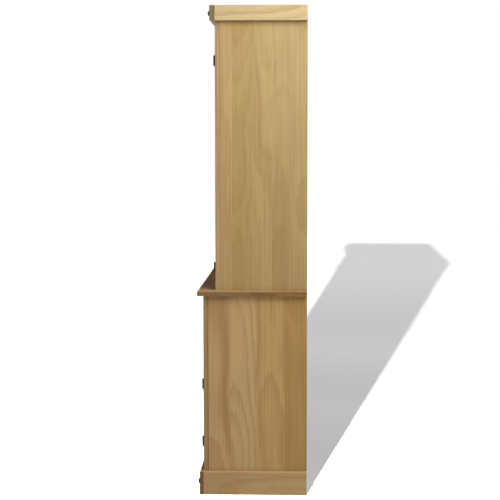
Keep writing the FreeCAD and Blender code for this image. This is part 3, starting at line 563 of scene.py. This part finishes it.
hutch_doors = ["hutch_door_" + side for side in sides]
hutch_door_stiles = tuple((x, x + 0.055, *everywhere) for x in (-0.383, -0.056, 0.001, 0.328))
dress(pine("hutch_door_pine", "xzy", ([1.3], [0.889, 1.785]), 53.0, (1.0, 1.0, 0.99), hutch_door_stiles,
           differ=[("x", 0.0)], knots=0.6), *[door + "_frame" for door in hutch_doors])
bar_uprights = ((-0.2, -0.184, *everywhere), (0.184, 0.2, *everywhere))
dress(pine("glazing_bar_pine", "xzy", ([1.34], [1.2, 1.48]), 59.0, (1.0, 0.99, 0.97), bar_uprights,
           differ=[("x", 0.0)], knots=0.0), *[door + "_bars" for door in hutch_doors])

# Glass
# One sheet of thin drawn glass in each hutch door, faintly green and not quite flat.

pane, tree = new_material("drawn_glass")
place = tree.node("TexCoord", out="Object")
waves = tree.node("TexNoise", {"Vector": place, "Scale": 7.0, "Detail": 1.0})
clear = tree.node("BsdfTransparent", {"Color": (0.93, 0.955, 0.94)})
polish = tree.node("BsdfPrincipled", {
    "Base Color": (0.94, 0.965, 0.95), "Roughness": 0.02, "IOR": 1.45, "Transmission Weight": 1.0,
    "Normal": tree.node("Bump", {"Height": waves, "Distance": 0.0006, "Strength": 0.4})})
ray = tree.node("LightPath", out="Is Shadow Ray")
surface_of(tree, tree.node("MixShader", {0: ray.most(ray.also("Is Diffuse Ray")), 1: polish, 2: clear}))
dress(pane, *[door + "_glass" for door in hutch_doors])

# Iron studs
# Ten forged studs, five along the plinth and five along the cornice, with eight hammered facets drawn in to a
# round rim. Each is driven into the board by its own nail.

dent_bend, dent_depth = 0.0012, 0.0009

def iron(name, sheen=0.46):
    """Hammered iron, blackened and waxed: dark in the dents, and rubbed to bare grey on the arrises."""
    material, tree = new_material(name)
    place = tree.node("TexCoord", out="Object")
    bent = tree.node("TexNoise", {"Vector": place, "Scale": 160.0, "Detail": 2.0}, out="Color")
    moved = tree.node("Mix", {0: dent_bend, 6: place, 7: bent}, out=2, data_type="RGBA", blend_type="ADD")
    dented = {"Vector": moved, "Scale": 190.0, "Smoothness": 0.35}
    dents = tree.node("TexVoronoi", dented, feature="SMOOTH_F1")
    pits = tree.node("TexNoise", {"Vector": place, "Scale": 900.0, "Detail": 3.0})
    facing = tree.node("SeparateXYZ", {0: tree.node("TexCoord", out="Normal")})
    flat = facing.size().most(facing.also(1).size()).most(facing.also(2).size())
    rubbed = flat.rise(0.985, 0.8) * pits.rise(0.35, 0.6)
    patches = tree.node("TexNoise", {"Vector": place, "Scale": 45.0, "Detail": 3.0}).rise(0.52, 0.72)
    colour = (patches * 0.6).tint((0.020, 0.019, 0.018), (0.040, 0.028, 0.019))
    colour = (rubbed * 0.55).tint(colour, (0.105, 0.100, 0.095))
    colour = colour.scaled(0.75 + dents * 0.6)
    height = dents * 0.8 + pits * 0.25
    roughness = sheen + pits * 0.2 - rubbed * 0.12
    surface_of(tree, shaded(tree, colour, roughness, height, dent_depth, Metallic=0.55,
                            Specular_IOR_Level=0.35))
    return material


def ring_shell(rings):
    """Points and faces of a closed skin from rings of points: quads between rings, and a lid on each end."""
    count, around = rings.shape[:2]
    grid = np.arange(count * around).reshape(count, around)
    beside = np.roll(grid, -1, axis=1)
    quads = np.stack([grid[:-1], beside[:-1], beside[1:], grid[1:]], -1).reshape(-1, 4)
    return rings.reshape(-1, 3), quads.tolist() + [grid[0].tolist(), grid[-1].tolist()]


def piece(name, shells, material, body):
    """Joins closed skins into one object that rides on a body."""
    points, faces, start = [], [], 0
    for corners, parts in shells:
        points.append(corners)
        faces += [[start + i for i in part] for part in parts]
        start += len(corners)
    mesh = bpy.data.meshes.new(name)
    mesh.from_pydata(np.concatenate(points).tolist(), [], faces)
    loose = bmesh.new()
    loose.from_mesh(mesh)
    bmesh.ops.recalc_face_normals(loose, faces=loose.faces)
    loose.to_mesh(mesh)
    loose.free()
    mesh.shade_smooth()
    mesh.set_sharp_from_angle(angle=math.radians(38))
    mesh.materials.append(material)
    made = bpy.data.objects.new(name, mesh)
    bpy.context.scene.collection.objects.link(made)
    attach(made, body)
    return made


black_iron = iron("blackened_iron")
stud_radius, stud_rise, stud_rim = 0.0125, 0.0085, 0.0009
stud_nail, stud_nail_length, stud_facets = 0.0014, 0.009, 8


def stud(x, face_y, z, turn):
    """A quarter ellipse of radius and rise carried round the nail's axis. Half-way up, the round is drawn in
    to a polygon, as cos(half a facet) / cos(the angle from the facet's middle)."""
    around = np.linspace(0, 2 * np.pi, 48, endpoint=False)
    climb = np.linspace(0, 0.97 * np.pi / 2, 14)
    radii = np.concatenate([[stud_nail * 0.2, stud_nail, stud_nail, stud_radius * 0.97],
                            stud_radius * np.cos(climb)])
    heights = np.concatenate([[-stud_nail_length, -stud_nail_length * 0.8, 0, 0],
                              stud_rim + (stud_rise - stud_rim) * np.sin(climb)])
    half = np.pi / stud_facets
    polygon = np.cos(half) / np.cos((around + turn) % (2 * half) - half)
    share = np.concatenate([np.zeros(4), np.sin(2 * climb) * 0.8])[:, None]
    radius = radii[:, None] * (1 - share + share * polygon)
    rings = np.stack([x + radius * np.cos(around), face_y - heights[:, None] + 0 * radius,
                      z + radius * np.sin(around)], -1)
    return ring_shell(rings)


stud_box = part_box("iron_studs")
stud_reach, stud_count = stud_box[1].x - stud_radius, 5
plinth_face, cornice_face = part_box("plinth_front")[0].y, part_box("cornice_front")[0].y
low_z, high_z = stud_box[0].z + stud_radius, stud_box[1].z - stud_radius
studs = [stud(x, face, z, 0.7 * i + z)
         for face, z in ((plinth_face, low_z), (cornice_face, high_z))
         for i, x in enumerate(np.linspace(-stud_reach, stud_reach, stud_count))]
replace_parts(piece("forged_studs", studs, black_iron, "root"), "iron_studs")

# Hinges
# Eight butterfly hinges screwed to the face of the frame and the doors, with the knuckle standing out in
# front. Three slotted round-headed screws hold each leaf, and an iron pin runs through the knuckles.

door_ironwork = [door + "_ironwork" for door in base_doors + hutch_doors]
drawer_ironwork = [drawer + "_handle" for drawer in drawers]
dress(black_iron, "frame_hinge_leaves", "hinge_pins", *door_ironwork, *drawer_ironwork)
screw_radius, screw_rise, slot_half, slot_floor, leaf_thickness = 0.0031, 0.0015, 0.00045, 0.0005, 0.002
screw_places = ((0.0105, 0.0), (0.0225, 0.0155), (0.0225, -0.0155))
hinge_x, base_hinge_inset, hutch_hinge_inset = 0.384, 0.084, 0.066


def hinge_levels(door_frame, inset):
    """The middles of a door's two hinges, as far from its foot as from its head."""
    low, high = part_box(door_frame)
    return low.z + inset, high.z - inset


def slotted_head(x, face_y, z, turn):
    """A dome over a square of u and v drawn out to a disc, x = u root(1 - v v / 2), z = v root(1 - u u / 2).
    Two pairs of equal u make the walls of a slot that sinks from the dome to a flat floor."""
    edge = slot_half / screw_radius
    u = np.array([-1, -0.85, -0.6, -0.35, -edge, -edge, edge, edge, 0.35, 0.6, 0.85, 1])[:, None]
    v = np.linspace(-1, 1, 11)[None, :]
    wide, tall = u * np.sqrt(1 - v * v / 2), v * np.sqrt(1 - u * u / 2)
    dome = screw_rise * np.sqrt(np.clip(1 - wide**2 - tall**2, 0, 1))
    in_slot = np.zeros_like(u)
    in_slot[5:7] = 1
    lift = np.where(in_slot + 0 * dome > 0, np.minimum(dome, slot_floor), dome)
    across = screw_radius * (wide * math.cos(turn) - tall * math.sin(turn))
    along = screw_radius * (wide * math.sin(turn) + tall * math.cos(turn))
    points = np.stack([x + across, face_y - lift, z + along], -1)
    grid = np.arange(points.shape[0] * points.shape[1]).reshape(points.shape[:2])
    quads = np.stack([grid[:-1, :-1], grid[1:, :-1], grid[1:, 1:], grid[:-1, 1:]], -1).reshape(-1, 4).tolist()
    border = [*grid[:, 0], *grid[-1, 1:], *grid[-2::-1, -1], *grid[0, -2:0:-1]]
    return points.reshape(-1, 3), quads + [[int(i) for i in border]]


def leaf_screws(side, face_y, levels, away):
    """The screws of one side's leaves on one face, running away from the axis, towards +X where away is 1."""
    return [slotted_head(side * hinge_x + away * out, face_y - leaf_thickness, z + up, 0.5 + 1.9 * i + 7 * z)
            for z in levels for i, (out, up) in enumerate(screw_places)]


base_face, hutch_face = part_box("base_face_frame")[0].y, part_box("hutch_face_frame")[0].y
hinge_rows = ((base_face, hinge_levels("base_door_left_frame", base_hinge_inset), base_doors),
              (hutch_face, hinge_levels("hutch_door_left_frame", hutch_hinge_inset), hutch_doors))
frame_screws = [head for face, levels, _ in hinge_rows for side in (-1, 1)
                for head in leaf_screws(side, face, levels, side)]
piece("frame_hinge_screws", frame_screws, black_iron, "root")
for face, levels, doors in hinge_rows:
    for side, door in zip((-1, 1), doors):
        piece(door + "_hinge_screws", leaf_screws(side, face, levels, -side), black_iron, door)

# Drop handles
# A beaten plate with pointed ends, two eye bolts and a swinging bail, forged from round bar that is left
# thick in the middle of the grip. The turned-in ends of the bail hang in the eyes.

bar_radius, pin_turn, grip_corner, pin_overreach, eye_half = 0.0024, 0.004, 0.009, 0.0015, 0.0025
eye_gap, grip_swell, hammer_dent, beats_a_metre = 0.0004, 0.32, 0.035, 900


def stretch(start, end, count):
    """Evenly spaced points on a straight line, without its last point."""
    share = np.linspace(0, 1, count, endpoint=False)[:, None]
    return np.array(start) * (1 - share) + np.array(end) * share


def bend(middle, radius, first, last, count):
    """Evenly spaced points on an arc about a middle, without its last point."""
    angle = np.linspace(first, last, count, endpoint=False)
    return np.stack([middle[0] + radius * np.cos(angle), middle[1] + radius * np.sin(angle)], 1)


def forged_bail(x, pivot_y, pivot_z, spacing, drop, hammering):
    """A round section carried along the bail's line, two legs and a grip. Its radius swells in the grip as a
    raised cosine of the way from the middle, and ripples a little where the hammer fell."""
    leg, tip = spacing / 2 + eye_half + eye_gap + pin_turn, spacing / 2 - eye_half - pin_overreach
    up, corner = (leg - pin_turn, -pin_turn), (leg - grip_corner, grip_corner - drop)
    half = np.concatenate([
        stretch((0, -drop), (leg - grip_corner, -drop), 12), bend(corner, grip_corner, -np.pi / 2, 0, 10),
        stretch((leg, grip_corner - drop), (leg, -pin_turn), 14), bend(up, pin_turn, 0, np.pi / 2, 8),
        stretch((leg - pin_turn, 0), (tip, 0), 6), [(tip, 0)]])
    line = np.concatenate([(half * (-1, 1))[:0:-1], half])
    ahead = np.gradient(line, axis=0)
    ahead /= np.linalg.norm(ahead, axis=1)[:, None]
    way = np.abs(np.cumsum(np.linalg.norm(np.diff(line, axis=0, prepend=line[:1]), axis=1)))
    way = np.abs(way - way[-1] / 2)
    free = leg + drop - grip_corner
    swell = grip_swell * (0.5 + 0.5 * np.cos(np.pi * np.clip(way / (0.8 * leg + 0.004), 0, 1)))
    loose = np.clip((free - way) / 0.006, 0, 1)
    around = np.linspace(0, 2 * np.pi, 20, endpoint=False)
    beats = np.sin(4 * around[None, :] + way[:, None] * beats_a_metre + hammering)
    ripple = hammer_dent * beats * loose[:, None] - hammer_dent * loose[:, None]
    ends = np.ones(len(line))
    ends[[0, -1]] = 0.7
    radius = bar_radius * (1 + swell * loose)[:, None] * (1 + ripple) * ends[:, None]
    out = np.stack([-ahead[:, 1], ahead[:, 0]], 1)
    rings = np.stack([x + line[:, :1] + radius * np.cos(around) * out[:, :1],
                      pivot_y + radius * np.sin(around),
                      pivot_z + line[:, 1:] + radius * np.cos(around) * out[:, 1:]], -1)
    return ring_shell(rings)


handles = [(drawer, 0.060, 0.025) for drawer in drawers]
handles += [(door, 0.018, 0.040) for door in base_doors + hutch_doors]
for number, (body, spacing, drop) in enumerate(handles):
    low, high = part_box(body + "_bail")
    pivot = ((low.x + high.x) / 2, (low.y + high.y) / 2, high.z - bar_radius)
    bail = piece(body + "_forged_bail", [forged_bail(*pivot, spacing, drop, 1.3 * number)], black_iron,
                 body + "_bail")
    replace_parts(bail, body + "_bail")

# Steel and catches
# Turned steel pins carry the shelves. A brown moulded magnetic catch stands behind each door.

bright_steel, tree = new_material("turned_steel")
place = tree.node("TexCoord", out="Object")
turning = tree.node("TexNoise", {"Vector": place, "Scale": 1400.0, "Detail": 2.0})
tarnish = tree.node("TexNoise", {"Vector": place, "Scale": 90.0, "Detail": 3.0}).rise(0.45, 0.7)
steel_tone = tarnish.tint((0.52, 0.51, 0.49), (0.36, 0.33, 0.29))
surface_of(tree, shaded(tree, steel_tone, 0.26 + turning * 0.2, turning, 0.0001, Metallic=1.0))
dress(bright_steel, "shelf_pins")

moulding, tree = new_material("brown_moulding")
place = tree.node("TexCoord", out="Object")
grainy = tree.node("TexNoise", {"Vector": place, "Scale": 2600.0, "Detail": 2.0})
blotch = tree.node("TexNoise", {"Vector": place, "Scale": 60.0})
brown = blotch.tint((0.075, 0.042, 0.024), (0.10, 0.06, 0.036))
surface_of(tree, shaded(tree, brown, 0.42 + grainy * 0.18, grainy, 0.00015))
dress(moulding, "door_catches")
